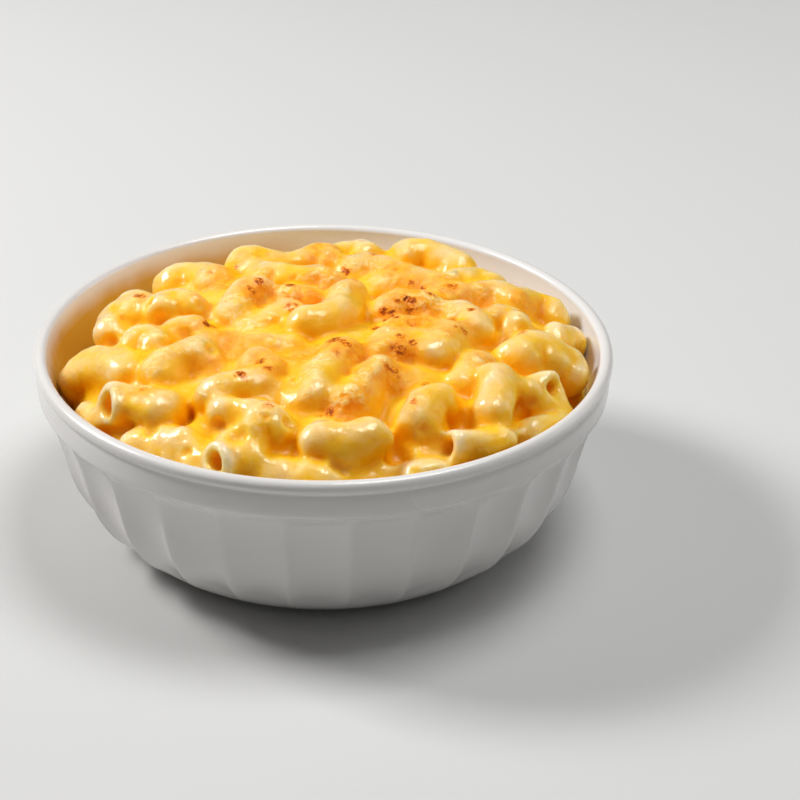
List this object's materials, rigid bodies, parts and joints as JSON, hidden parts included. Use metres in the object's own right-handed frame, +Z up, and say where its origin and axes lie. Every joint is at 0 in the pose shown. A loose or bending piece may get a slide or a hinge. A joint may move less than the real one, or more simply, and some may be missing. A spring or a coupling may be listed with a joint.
{
  "type": "macaroni and cheese",
  "caption": "Heap of baked elbow macaroni in cheese sauce, browned in places, in a round white fluted dish with a plain band under its rounded lip.",
  "frame": {"origin": "centre of the dish's underside, on the surface it stands on", "axes": "+Z up, -Y towards the front, +X to the right seen from the front"},
  "size_m": [0.128, 0.128, 0.0533],
  "materials": {
    "dish": "glazed white stoneware, gloss",
    "macaroni_and_cheese": "moist cheese sauce on cooked pasta, browned on the highest crowns"
  },
  "bodies": {
    "root": {"dish": "dish", "macaroni_and_cheese": "macaroni_and_cheese"}
  },
  "joints": []
}
